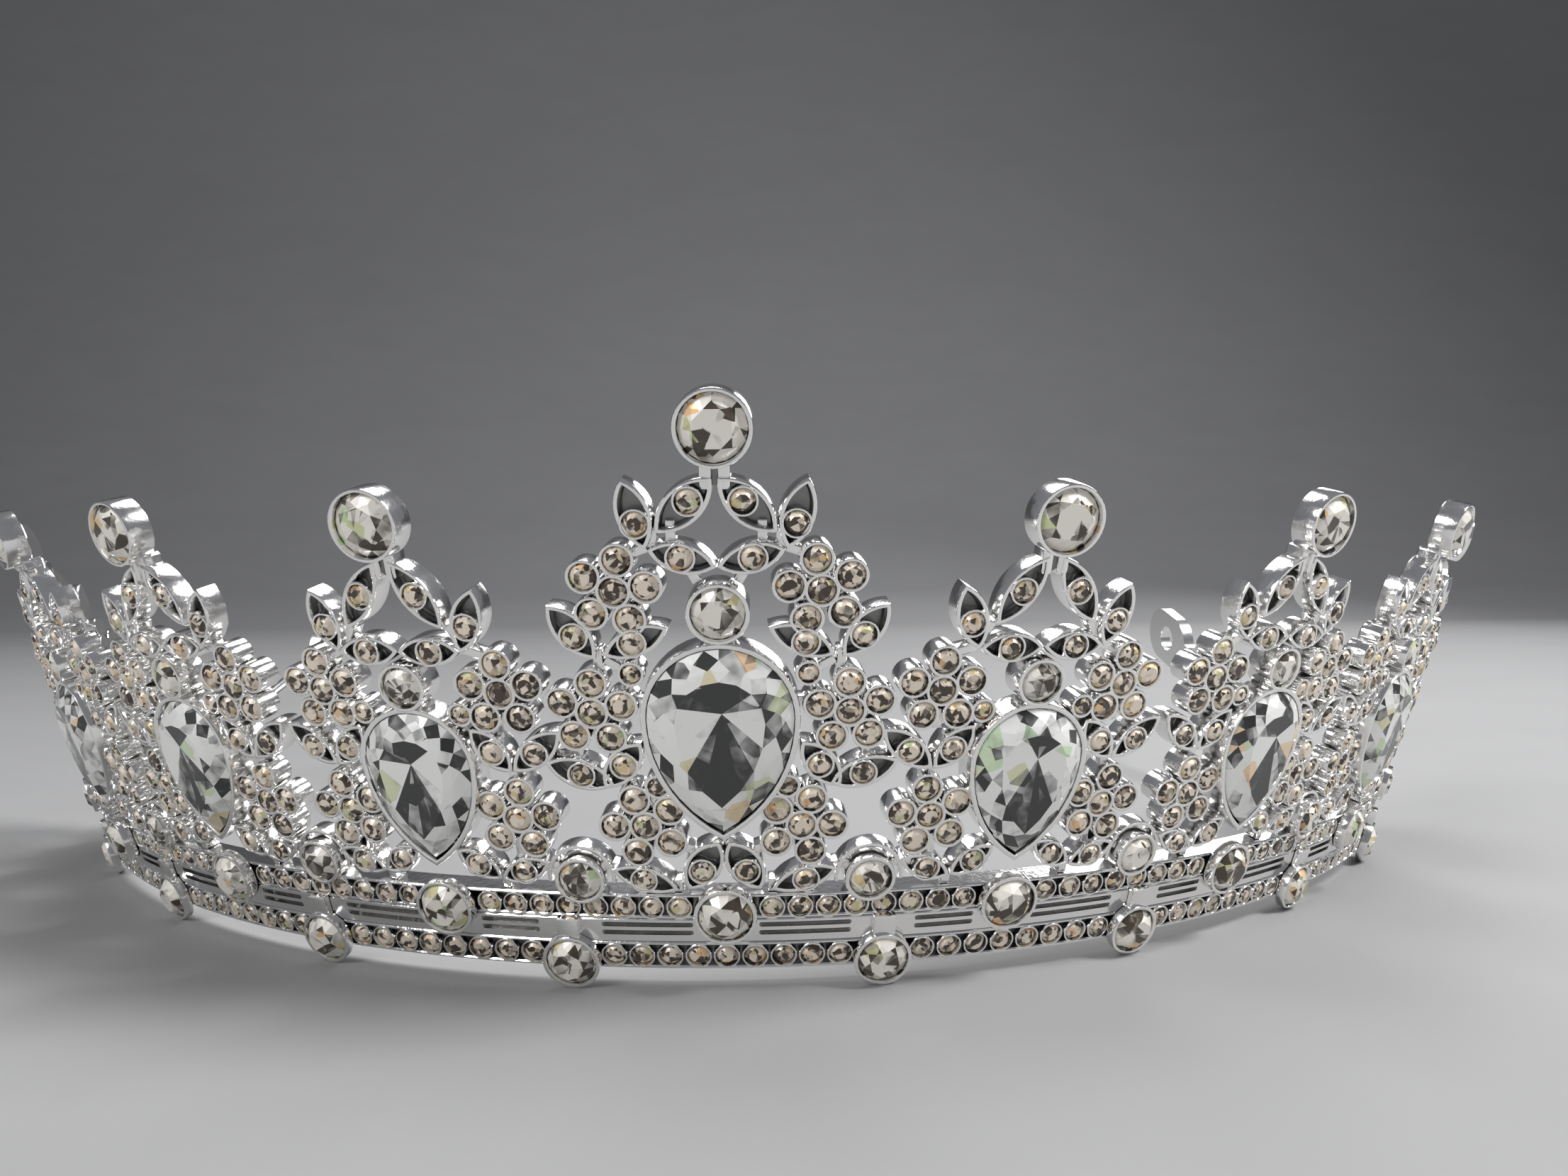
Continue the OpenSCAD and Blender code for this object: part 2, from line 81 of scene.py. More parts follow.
def onWall(s, v, turn=0):
    # local x runs along the band, y up the wall, z out of it, all in millimetres
    foot, heading, radius = footOf(s)
    foot = foot + outward(heading) * (v * math.sin(flare))
    foot.y += wall["shiftY"]
    foot.z = v * math.cos(flare) + wall["lift"]
    lean = Matrix.Rotation(math.pi / 2 + flare, 4, "X")
    return (Matrix.Scale(mm, 4) @ Matrix.Translation(foot) @ Matrix.Rotation(heading, 4, "Z")
            @ lean @ Matrix.Rotation(math.radians(turn), 4, "Z"))


def peakAt(k):
    return 0 if k == 0 else math.copysign(wall["firstPeak"] + (abs(k) - 1) * wall["peakPitch"], k)


def stretch(s, v):
    return 1 + v * math.sin(flare) / footOf(s)[2]


def besidePeak(k, u, v, turn=0):
    # u is measured on the wall at height v, on past a joint between two arcs where it must be
    s = peakAt(k)
    joints = (wall["frontReach"], wall["sideReach"])
    joint = next((j for j in joints if abs(s) < j), 2 * wall["bandReach"])
    near = (joint - abs(s)) * stretch(s, v)
    if u * s > 0 and abs(u) > near:
        beyond = (abs(u) - near) / stretch(joint + wall["joint"], v)
        return onWall(math.copysign(joint + beyond, s), v, turn)
    return onWall(s + u / stretch(s, v), v, turn)


# Outlines, each a function of how far it is drawn in

def circleOutline(radius, count=24):
    def draw(inset):
        return [((radius - inset) * math.cos(math.tau * i / count),
                 (radius - inset) * math.sin(math.tau * i / count)) for i in range(count)]
    return draw


def leafOutline(length, width, count=14):
    rho = (length * length + width * width) / (4 * width)

    def draw(inset):
        r = rho - inset
        drop = rho - width / 2
        reach = math.acos(min(1, drop / r))
        angles = [reach * (2 * i / count - 1) for i in range(count)]
        low = [(r * math.sin(angle), drop - r * math.cos(angle)) for angle in angles]
        return low + [(-x, -y) for x, y in low]
    return draw


def pearOutline(radius, tail, count=44):
    rho = (tail * tail + radius * radius) / (2 * radius)

    def draw(inset):
        r = rho - inset
        sweep = math.acos(min(1, (rho - radius) / r))
        half = count // 2
        quarter = half // 2
        over = [math.pi * i / half for i in range(half)]
        down = [sweep * i / quarter for i in range(quarter)]
        back = [sweep * (1 - i / quarter) for i in range(quarter)]
        top = [((radius - inset) * math.cos(angle), (radius - inset) * math.sin(angle)) for angle in over]
        left = [(-(r * math.cos(angle) - (rho - radius)), -r * math.sin(angle)) for angle in down]
        right = [(r * math.cos(angle) - (rho - radius), -r * math.sin(angle)) for angle in back]
        return top + left + right
    return draw


def barOutline(length, width, corner):
    def draw(inset):
        points = []
        a, b = length / 2 - corner, width / 2 - corner
        r = max(corner - inset, 0.01)
        shrink = max(inset - corner, 0)
        for cx, cy, start in ((a, b, 0), (-a, b, 90), (-a, -b, 180), (a, -b, 270)):
            for i in range(4):
                angle = math.radians(start + 30 * i)
                points.append((cx - math.copysign(shrink, cx) + r * math.cos(angle),
                               cy - math.copysign(shrink, cy) + r * math.sin(angle)))
        return points
    return draw


def newBuild():
    return {"points": [], "faces": [], "recess": [], "tone": []}


def addPoint(build, place, point, recess=0.0):
    build["points"].append(place @ Vector(point))
    build["recess"].append(recess)
    return len(build["points"]) - 1


def addFace(build, corners, tone=0.5):
    build["faces"].append(corners)
    build["tone"].append(tone)


def addLoft(build, place, outline, steps):
    # steps are (inset, height, recess) from the back, round the rim and down to the floor
    rings = [[addPoint(build, place, (x, y, z), recess) for x, y in outline(inset)]
             for inset, z, recess in steps]
    count = len(rings[0])
    for low, high in zip(rings, rings[1:]):
        for i in range(count):
            j = (i + 1) % count
            addFace(build, (low[i], low[j], high[j], high[i]))
    addFace(build, tuple(reversed(rings[0])))
    addFace(build, tuple(rings[-1]))


# a rounded edge's middle as a share of its size, a cup wall's draft and the cove round its floor
edging = {"middle": 0.3, "draft": 0.02, "cove": 0.12}


def addCup(build, place, outline, thick, rim, floor, back=wall["castBack"], ease=0.08):
    # an open cup of any outline: rounded rim of the given thickness, painted shade gathered on its floor
    bend = ease * edging["middle"]
    cove = edging["cove"]
    addLoft(build, place, outline, [
        (ease, -back, 0.2), (0, ease - back, 0.2), (0, rim - ease, 0), (bend, rim - bend, 0),
        (ease, rim, 0), (thick - ease, rim, 0), (thick - bend, rim - bend, 0), (thick, rim - ease, 0.05),
        (thick + edging["draft"], floor + cove, 0.75), (thick + cove, floor, 1)])


def addPlate(build, place, outline, low, high, ease=0.08, recess=0.0):
    bend = ease * edging["middle"]
    addLoft(build, place, outline, [
        (ease, low, recess), (0, low + ease, recess), (0, high - ease, recess),
        (bend, high - bend, recess), (ease, high, recess)])


def wander(index, salt=0.0):
    # a repeatable number from 0 to 1
    value = math.sin(index * 12.9898 + salt * 78.233) * 43758.5453
    return value - math.floor(value)


# shares of a round stone's radius and crown; below "broadUnder" its patches of painted reflection tone are
# twice as wide; girdle and back tones are painted reflection greys
roundCut = {"table": 0.6, "star": 0.78, "starHeight": 0.6, "above": 0.02, "below": 0.06, "slide": 0.5,
            "broadUnder": 1.2, "girdleTone": 0.6, "backTone": 0.2}


def addBrilliant(build, place, radius, girdle, crown, depth, index=0):
    # eight-fold round cut: table, stars, kites, upper halves and a pointed back
    # each facet's tone is its painted reflection, from dark to light
    spin = math.tau * wander(index, 1.3)
    broad = 2 if radius < roundCut["broadUnder"] else 1
    tip = [wander(index, 2.0 + i // broad) for i in range(8)]

    def ring(count, r, z, offset):
        return [addPoint(build, place, (r * math.cos(spin + math.tau * (i + offset) / count),
                                        r * math.sin(spin + math.tau * (i + offset) / count), z))
                for i in range(count)]

    slide = [roundCut["slide"] * radius * (wander(index, salt) - 0.5) for salt in (7.7, 8.8)]
    centre = addPoint(build, place, (*slide, girdle + crown))
    table = ring(8, radius * roundCut["table"], girdle + crown, 0)
    middles = ring(8, radius * roundCut["table"] * math.cos(math.pi / 8), girdle + crown, 0.5)
    stars = ring(8, radius * roundCut["star"], girdle + crown * roundCut["starHeight"], 0.5)
    edge = ring(16, radius, girdle + roundCut["above"], 0)
    foot = ring(16, radius, girdle - roundCut["below"], 0)
    culet = addPoint(build, place, (0, 0, girdle - depth))
    for i in range(8):
        j = (i + 1) % 8
        addFace(build, (centre, table[i], middles[i]), 1.15 * tip[i])
        addFace(build, (centre, middles[i], table[j]), 0.7 * tip[i] + 0.45 * tip[j])
        addFace(build, (table[i], stars[i], table[j], middles[i]), 1.1 * (1 - tip[j]))
        addFace(build, (table[i], stars[i - 1], edge[2 * i], stars[i]), 0.2 + tip[(i + 3) % 8])
        addFace(build, (stars[i], edge[2 * i], edge[2 * i + 1]), 0.1 + 0.8 * tip[(i + 4) % 8])
        addFace(build, (stars[i], edge[2 * i + 1], edge[(2 * i + 2) % 16]), 0.3 + 0.9 * tip[(i + 5) % 8])
    for i in range(16):
        j = (i + 1) % 16
        addFace(build, (edge[i], foot[i], foot[j], edge[j]), roundCut["girdleTone"])
        addFace(build, (foot[i], culet, foot[j]), roundCut["backTone"])


def finishPiece(name, build, material, faceted=False, crease=32):
    mesh = bpy.data.meshes.new(name)
    mesh.from_pydata([tuple(p) for p in build["points"]], [], build["faces"])
    # recess drives the painted shade of the silver, tone the painted reflection grey of each facet
    recess = mesh.attributes.new("recess", "FLOAT", "POINT")
    recess.data.foreach_set("value", build["recess"])
    tone = mesh.attributes.new("tone", "FLOAT", "FACE")
    tone.data.foreach_set("value", build["tone"])
    mesh.validate()
    mesh.polygons.foreach_set("use_smooth", [not faceted] * len(mesh.polygons))
    if not faceted:
        mesh.set_sharp_from_angle(angle=math.radians(crease))
    mesh.materials.append(material)
    piece = bpy.data.objects.new(name, mesh)
    bpy.context.scene.collection.objects.link(piece)
    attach(piece, "root")
    return piece


# Shader groups

surfaceOutputs = [("NodeSocketColor", "Color"), ("NodeSocketFloat", "Roughness"), ("NodeSocketFloat", "Height")]


def newGroup(name, inputs, outputs):
    group = bpy.data.node_groups.new(name, "ShaderNodeTree")
    for kind, label, value in inputs:
        socket = group.interface.new_socket(label, in_out="INPUT", socket_type=kind)
        socket.default_value = value
    for kind, label in outputs:
        group.interface.new_socket(label, in_out="OUTPUT", socket_type=kind)
    return group, group.nodes.new("NodeGroupInput"), group.nodes.new("NodeGroupOutput")


def addNode(tree, kind, **values):
    node = tree.nodes.new(kind)
    for key, value in values.items():
        if hasattr(node, key):
            setattr(node, key, value)
        else:
            node.inputs[key].default_value = value
    return node


def mathNode(tree, operation, first, second, clamp=False):
    node = addNode(tree, "ShaderNodeMath", operation=operation, use_clamp=clamp)
    for socket, value in zip(node.inputs, (first, second)):
        if isinstance(value, (int, float)):
            socket.default_value = value
        else:
            tree.links.new(value, socket)
    return node.outputs[0]


def mixColour(tree, factor, first, second, blend="MIX"):
    node = addNode(tree, "ShaderNodeMix", data_type="RGBA", blend_type=blend)
    for index, value in ((0, factor), (6, first), (7, second)):
        if isinstance(value, (int, float, tuple)):
            node.inputs[index].default_value = value
        else:
            tree.links.new(value, node.inputs[index])
    return node.outputs[2]


castNoise = {
    "mottle": 420, "pits": 2600, "scuffs": 1100,  # scales
    "shadeLeast": 0.95, "haze": 0.16, "hazeColour": (0.55, 0.56, 0.58, 1),
    "scuffDepth": 0.14, "recessRoughness": 0.25, "mottleHeight": 0.8,
}


def makeCastGroup():
    # cast and plated metal: painted shade and dark reflection in the recesses, soft mottling, fine pitting
    group, given, result = newGroup("castSurface", [
        ("NodeSocketColor", "Bright", (0.9, 0.9, 0.91, 1)),
        ("NodeSocketColor", "Film", (0.1, 0.1, 0.105, 1)),
        ("NodeSocketFloat", "Recess", 0),
        ("NodeSocketFloat", "Gloss", 0.15),
        ("NodeSocketFloat", "Patchiness", 0.5),
    ], surfaceOutputs)
    links = group.links
    where = addNode(group, "ShaderNodeTexCoord")
    mottle = addNode(group, "ShaderNodeTexNoise", Scale=castNoise["mottle"], Detail=4, Roughness=0.6)
    pits = addNode(group, "ShaderNodeTexNoise", Scale=castNoise["pits"], Detail=3, Roughness=0.55)
    scuffs = addNode(group, "ShaderNodeTexNoise", Scale=castNoise["scuffs"], Detail=2, Roughness=0.7,
                     Distortion=1.5)
    for node in (mottle, pits, scuffs):
        links.new(where.outputs["Object"], node.inputs["Vector"])
    # painted shade and dark reflection: the recess mask, made patchy by the mottle, mixes the silver towards
    # the dark colour
    patchy = mathNode(group, "MULTIPLY", mottle.outputs["Fac"], given.outputs["Patchiness"])
    patchy = mathNode(group, "ADD", patchy, castNoise["shadeLeast"])
    film = mathNode(group, "MULTIPLY", given.outputs["Recess"], patchy, clamp=True)
    shade = mixColour(group, film, given.outputs["Bright"], given.outputs["Film"])
    haze = mathNode(group, "MULTIPLY", mottle.outputs["Fac"], castNoise["haze"])
    links.new(mixColour(group, haze, shade, castNoise["hazeColour"]), result.inputs["Color"])
    scuffed = mathNode(group, "MULTIPLY", scuffs.outputs["Fac"], castNoise["scuffDepth"])
    recessRough = mathNode(group, "MULTIPLY", given.outputs["Recess"], castNoise["recessRoughness"])
    rough = mathNode(group, "ADD", given.outputs["Gloss"], scuffed)
    links.new(mathNode(group, "ADD", rough, recessRough, clamp=True), result.inputs["Roughness"])
    uneven = mathNode(group, "MULTIPLY", mottle.outputs["Fac"], castNoise["mottleHeight"])
    links.new(mathNode(group, "ADD", pits.outputs["Fac"], uneven), result.inputs["Height"])
    return group


facetNoise = {
    "cloud": 900, "ripple": 500,  # scales
    "cloudDepth": 0.5, "rampFrom": 0.28, "rampTo": 0.78,
    "gold": (1, 0.5, 0.08, 1), "green": (0.45, 0.8, 0.35, 1), "fireAbove": 0.5, "rareAbove": 0.86,
    "roughLeast": 0.5, "roughDepth": 0.08,
}


def makeFacetGroup():
    # cut glass over foil: each facet gets its own painted reflection grey, broken into shards, and a few carry
    # painted gold or green glints
    group, given, result = newGroup("foiledFacet", [
        ("NodeSocketFloat", "Tone", 0.5),
        ("NodeSocketColor", "Dark", (0.05, 0.05, 0.05, 1)),
        ("NodeSocketColor", "Light", (0.95, 0.95, 0.95, 1)),
        ("NodeSocketFloat", "Fire", 0.3),
        ("NodeSocketFloat", "Lift", 0),
        ("NodeSocketFloat", "Shards", 1500),
        ("NodeSocketFloat", "Break", 0.8),
    ], surfaceOutputs)
    links = group.links
    where = addNode(group, "ShaderNodeTexCoord")
    cloud = addNode(group, "ShaderNodeTexNoise", Scale=facetNoise["cloud"], Detail=1)
    ripple = addNode(group, "ShaderNodeTexNoise", Scale=facetNoise["ripple"], Detail=0)
    shard = addNode(group, "ShaderNodeTexVoronoi")
    links.new(given.outputs["Shards"], shard.inputs["Scale"])
    for node in (cloud, ripple, shard):
        links.new(where.outputs["Object"], node.inputs["Vector"])
    apart = addNode(group, "ShaderNodeSeparateColor")
    links.new(shard.outputs["Color"], apart.inputs["Color"])
    broken = mathNode(group, "SUBTRACT", apart.outputs["Red"], 0.5)
    broken = mathNode(group, "MULTIPLY", broken, given.outputs["Break"])
    clouded = mathNode(group, "SUBTRACT", cloud.outputs["Fac"], 0.5)
    clouded = mathNode(group, "MULTIPLY", clouded, facetNoise["cloudDepth"])
    tone = mathNode(group, "ADD", given.outputs["Tone"], broken)
    tone = mathNode(group, "ADD", tone, clouded)
    tone = mathNode(group, "ADD", tone, given.outputs["Lift"])
    ramp = addNode(group, "ShaderNodeMapRange", interpolation_type="SMOOTHSTEP")
    ramp.inputs["From Min"].default_value = facetNoise["rampFrom"]
    ramp.inputs["From Max"].default_value = facetNoise["rampTo"]
    links.new(tone, ramp.inputs["Value"])
    grey = mixColour(group, ramp.outputs[0], given.outputs["Dark"], given.outputs["Light"])
    # painted gold and green glints on a few bright shards
    vivid = mixColour(group, apart.outputs["Green"], facetNoise["gold"], facetNoise["green"])
    light = mathNode(group, "GREATER_THAN", tone, facetNoise["fireAbove"])
    rare = mathNode(group, "GREATER_THAN", apart.outputs["Blue"], facetNoise["rareAbove"])
    spark = mathNode(group, "MULTIPLY", light, given.outputs["Fire"])
    spark = mathNode(group, "MULTIPLY", spark, rare)
    links.new(mixColour(group, spark, grey, vivid, "MULTIPLY"), result.inputs["Color"])
    rough = mathNode(group, "MULTIPLY", cloud.outputs["Fac"], facetNoise["roughDepth"])
    links.new(mathNode(group, "ADD", rough, facetNoise["roughLeast"]), result.inputs["Roughness"])
    links.new(ripple.outputs["Fac"], result.inputs["Height"])
    return group


castGroup = makeCastGroup()
facetGroup = makeFacetGroup()


def newMaterial(name):
    material = bpy.data.materials.new(name)
    material.use_nodes = True
    return material, material.node_tree, material.node_tree.nodes["Principled BSDF"]


def wireSurfaceGroup(tree, shader, group, look, values, attribute, socket, bumpStrength, bumpDistance):
    # one surface group, which paints shade into the silver's recesses or reflections onto the glass facets: its
    # values, the mesh attribute it reads, and colour, roughness and bump out
    surface = addNode(tree, "ShaderNodeGroup", node_tree=group)
    for value in values:
        surface.inputs[value.capitalize()].default_value = look[value]
    stored = addNode(tree, "ShaderNodeAttribute", attribute_name=attribute)
    tree.links.new(stored.outputs["Fac"], surface.inputs[socket])
    tree.links.new(surface.outputs["Color"], shader.inputs["Base Color"])
    tree.links.new(surface.outputs["Roughness"], shader.inputs["Roughness"])
    bump = addNode(tree, "ShaderNodeBump", Strength=bumpStrength, Distance=bumpDistance)
    tree.links.new(surface.outputs["Height"], bump.inputs["Height"])
    tree.links.new(bump.outputs["Normal"], shader.inputs["Normal"])


def silverMaterial(name, look):
    material, tree, shader = newMaterial(name)
    shader.inputs["Metallic"].default_value = 1
    wireSurfaceGroup(tree, shader, castGroup, look, ("bright", "film", "gloss", "patchiness"), "recess", "Recess",
              look["pitting"], 0.04 * mm)
    return material


def glassMaterial(name, look):
    material, tree, shader = newMaterial(name)
    shader.inputs["Metallic"].default_value = look["foil"]
    shader.inputs["Transmission Weight"].default_value = look["clear"]
    shader.inputs["IOR"].default_value = 1.56
    shader.inputs["Coat Weight"].default_value = 1
    shader.inputs["Coat Roughness"].default_value = 0.02
    wireSurfaceGroup(tree, shader, facetGroup, look, ("dark", "light", "fire", "lift", "shards", "break"),
              "tone", "Tone", 0.05, 0.02 * mm)
    return material


# the dark colour of each look is the painted shade and dark reflection laid into the recesses
silverLooks = {
    "cast": {"bright": (1, 0.99, 0.97, 1), "film": (0.24, 0.238, 0.23, 1),
             "gloss": 0.05, "patchiness": 0.9, "pitting": 0.5},
    "band": {"bright": (1, 0.99, 0.97, 1), "film": (0.2, 0.198, 0.192, 1),
             "gloss": 0.06, "patchiness": 0.8, "pitting": 0.4},
    "rod": {"bright": (0.85, 0.85, 0.84, 1), "film": (0.1, 0.1, 0.1, 1),
            "gloss": 0.16, "patchiness": 0.3, "pitting": 0.15},
}
# dark and light are the painted reflection greys of the facets, fire the share of painted coloured glints
glassLooks = {
    "small": {"dark": (0.05, 0.03, 0.017, 1), "light": (0.98, 0.86, 0.71, 1), "fire": 0.6, "lift": 0.04,
              "shards": 1900, "break": 1.1, "foil": 0.3, "clear": 0.1},
    "crest": {"dark": (0.055, 0.038, 0.02, 1), "light": (1, 0.96, 0.87, 1), "fire": 0.7, "lift": 0.06,
              "shards": 1000, "break": 0.9, "foil": 0.3, "clear": 0.1},
    "pear": {"dark": (0.022, 0.024, 0.022, 1), "light": (1, 1, 0.97, 1), "fire": 0.55, "lift": 0.06,
             "shards": 600, "break": 0.35, "foil": 0.3, "clear": 0.1},
}
castSilver = silverMaterial("castSilver", silverLooks["cast"])
bandSilver = silverMaterial("bandSilver", silverLooks["band"])
rodSilver = silverMaterial("rodSilver", silverLooks["rod"])
smallGlass = glassMaterial("smallGlass", glassLooks["small"])
crestGlass = glassMaterial("crestGlass", glassLooks["crest"])
pearGlass = glassMaterial("pearGlass", glassLooks["pear"])
print("materials ready")

# Peaks

peakNames = {0: "centre"}
for number in range(1, 5):
    peakNames[number] = f"right_{number}"
    peakNames[-number] = f"left_{number}"

petal = {
    "stone": 0.98, "wall": 0.24, "rim": 1.1, "floor": 0.15, "ring": 2.24, "bead": 0.72,
    "leafWall": 0.33, "leafFloor": 0.1, "leafEase": 0.13,
    "tubeGap": 0.08, "tubeWall": 0.18, "tubeRise": 0.1, "tubeEase": 0.06,  # round a leaf's stone
}
strutBar = {"width": 0.7, "corner": 0.12, "front": 0.55, "ease": 0.12}

# one side of a peak; leaves are u, v, angle, length, width and their stone's u, v
centrePeak = {
    "crest": 42.7, "pear": (22.4, 5.6, 9.6), "collet": (30.1, 1.88),
    "leaves": [
        (2.1, 37.5, -43, 5.4, 2.6, 1.8, 37.8), (5.4, 36.9, 74, 5, 2.4, 5.3, 36.3),
        (2.3, 33.9, 15, 4.8, 2.2, 2.4, 33.95), (10.05, 28.7, 51, 5, 2.4, 9.9, 28.4),
        (5.65, 28, 156, 5.1, 2.2, 5.9, 27.9), (10.1, 17.9, 19, 5.3, 2.4, 10, 17.85),
        (7, 18.6, 129, 4.6, 2.4, 6.9, 18.6), (1.5, 10.4, -59, 4.6, 2.7, 1.6, 10),
        (5.8, 9.25, 19, 5.2, 2.1, 5.9, 9.25)],
    "flowers": [(7, 31.6, 10), (9, 22.65, 3), (5.6, 13.7, -18)],
    "beads": [(6.1, 25.6), (4.6, 16.9)],
    "struts": [
        (3.05, 35.5, 90, 1.9), (4.3, 35.2, 90, 1.6), (1.75, 32.75, 60, 1.6), (5.6, 34.2, -20, 2),
        (8.45, 26.2, 90, 2.2), (10.3, 19.6, 90, 1.6), (7.2, 26, 30, 1.8), (6.1, 23.3, 0, 1.6),
        (4.9, 15.6, 80, 1.6), (3, 11.7, 20, 1.8), (6.4, 10.6, 90, 1.6), (8.4, 10, 10, 1.6),
        (3.5, 8.4, 90, 1.04), (6.2, 8.26, 90, 0.76)],
}
sidePeak = {
    "crest": 36.7, "pear": (18.3, 4.7, 8.3), "collet": (24.6, 1.55),
    "leaves": [
        (2.2, 31.4, -56, 6, 2.4, 2.15, 31.4), (5.65, 29.5, 72, 5, 2.4, 5.6, 29.1),
        (2.4, 27.2, 0, 4.9, 2.3, 2.5, 27.2), (9.25, 19.6, 40, 5.1, 2.3, 9.1, 19.45),
        (5.8, 19.6, 130, 4.4, 2.3, 5.9, 19.5), (3.3, 10.1, 146, 4.1, 2.1, 3.25, 10.15),
        (6.9, 9.75, 22, 4.3, 2.1, 6.8, 9.7)],
    "flowers": [(7.2, 24.05, 0), (7, 14.1, -10)],
    "beads": [(3.95, 22.4)],
    "struts": [
        (4.3, 28.2, 120, 1.8), (5.7, 26.9, -15, 2), (5.5, 23, 20, 2), (7.1, 21.7, 90, 1.6),
        (7, 17, 90, 2), (4.7, 14.4, 0, 1.6), (6.5, 11.3, 90, 2), (8.6, 10, 0, 1.6),
        (1.6, 11.2, 120, 1.6), (4.95, 8.5, 90, 1.24)],
}
crestCup = {"stone": 2.3, "wall": 0.3, "rim": 2.2, "floor": 0.4, "back": -0.25, "ease": 0.1}
neck = {
    "reach": 1.35, "rise": 0.15, "ease": 0.14,
    "rodRadius": 0.42, "rodGap": 0.62, "rodOverlap": 0.8, "rodCorner": 0.3, "rodFrom": -0.6, "rodTo": 0.95,
    "webWidth": 1.9, "webOverlap": 0.5, "webCorner": 0.2, "webFrom": -0.65, "webTo": 0.35,
}
colletRim = 1.6
pearSetting = {"wall": 0.42, "rim": 1.5, "dome": 0.85, "ease": 0.13}


def shapeOf(k):
    return centrePeak if k == 0 else sidePeak


def flowerPlaces(k, side, flower):
    u, v, turn = flower
    yield besidePeak(k, side * u, v)
    for i in range(5):
        angle = math.radians(side * turn + 90 + 72 * i)
        yield besidePeak(k, side * u, v) @ Matrix.Translation(
            (petal["ring"] * math.cos(angle), petal["ring"] * math.sin(angle), 0))


def addNeck(build, k, crest):
    # two rods with a thin web behind them, from the crest cup down to the leaves
    foot = crest - crestCup["stone"] - crestCup["wall"] - neck["reach"] / 2 + neck["rise"]
    rod = barOutline(neck["rodRadius"] * 2, neck["reach"] + neck["rodOverlap"], neck["rodCorner"])
    for side in (1, -1):
        addPlate(build, besidePeak(k, side * neck["rodGap"], foot), rod, neck["rodFrom"], neck["rodTo"],
                 neck["ease"])
    web = barOutline(neck["webWidth"], neck["reach"] + neck["webOverlap"], neck["webCorner"])
    # the web behind the rods carries painted shade through its recess value
    addPlate(build, besidePeak(k, 0, foot), web, neck["webFrom"], neck["webTo"], recess=0.8)


def addOrnaments(build, k, side):
    shape = shapeOf(k)
    for u, v, angle, length, width, stoneU, stoneV in shape["leaves"]:
        addCup(build, besidePeak(k, side * u, v, side * angle), leafOutline(length, width),
               petal["leafWall"], petal["rim"], petal["leafFloor"], ease=petal["leafEase"])
        tube = circleOutline(petal["stone"] + petal["tubeGap"], 22)
        addCup(build, besidePeak(k, side * stoneU, stoneV), tube, petal["tubeWall"],
               petal["rim"] + petal["tubeRise"], petal["floor"], ease=petal["tubeEase"])
    for flower in shape["flowers"]:
        for place in flowerPlaces(k, side, flower):
            addCup(build, place, circleOutline(petal["stone"] + petal["wall"], 24), petal["wall"],
                   petal["rim"], petal["floor"])
    for u, v in shape["beads"]:
        addCup(build, besidePeak(k, side * u, v), circleOutline(petal["bead"] + petal["wall"], 20),
               petal["wall"], petal["rim"], petal["floor"])
    for u, v, angle, length in shape["struts"]:
        bar = barOutline(length, strutBar["width"], strutBar["corner"])
        addPlate(build, besidePeak(k, side * u, v, side * angle), bar, -wall["castBack"],
                 strutBar["front"], strutBar["ease"])


def buildPeak(k):
    shape = shapeOf(k)
    build = newBuild()
    crest = shape["crest"]
    addCup(build, besidePeak(k, 0, crest), circleOutline(crestCup["stone"] + crestCup["wall"], 40),
           crestCup["wall"], crestCup["rim"], crestCup["floor"], crestCup["back"], crestCup["ease"])
    addNeck(build, k, crest)
    v, r = shape["collet"]
    addCup(build, besidePeak(k, 0, v), circleOutline(r + crestCup["wall"], 36), crestCup["wall"],
           colletRim, petal["floor"], ease=crestCup["ease"])
    v, r, tail = shape["pear"]
    addCup(build, besidePeak(k, 0, v), pearOutline(r, tail), pearSetting["wall"], pearSetting["rim"],
           petal["floor"], ease=pearSetting["ease"])
    for side in (1, -1):
        addOrnaments(build, k, side)
    piece = finishPiece(f"casting_{peakNames[k]}", build, castSilver)
    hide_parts(f"peak_{peakNames[k]}")


for k in peakNames:
    buildPeak(k)
print("peaks built")

# Pear stones: a domed crown round a table whose facets meet above the middle

pearCut = {
    "sides": 16, "focusU": 0.15, "focusV": 0.08, "focusHeight": 0.95,
    "table": 0.36, "star": 0.22, "starHeight": 0.72, "kite": 0.11, "kiteHeight": 0.36,  # shares
    "edgeDown": 0.12, "cornerDown": 0.1, "footDown": 0.3, "footInset": 0.02,
    "culetV": -0.1, "culetHeight": 0.25,
}


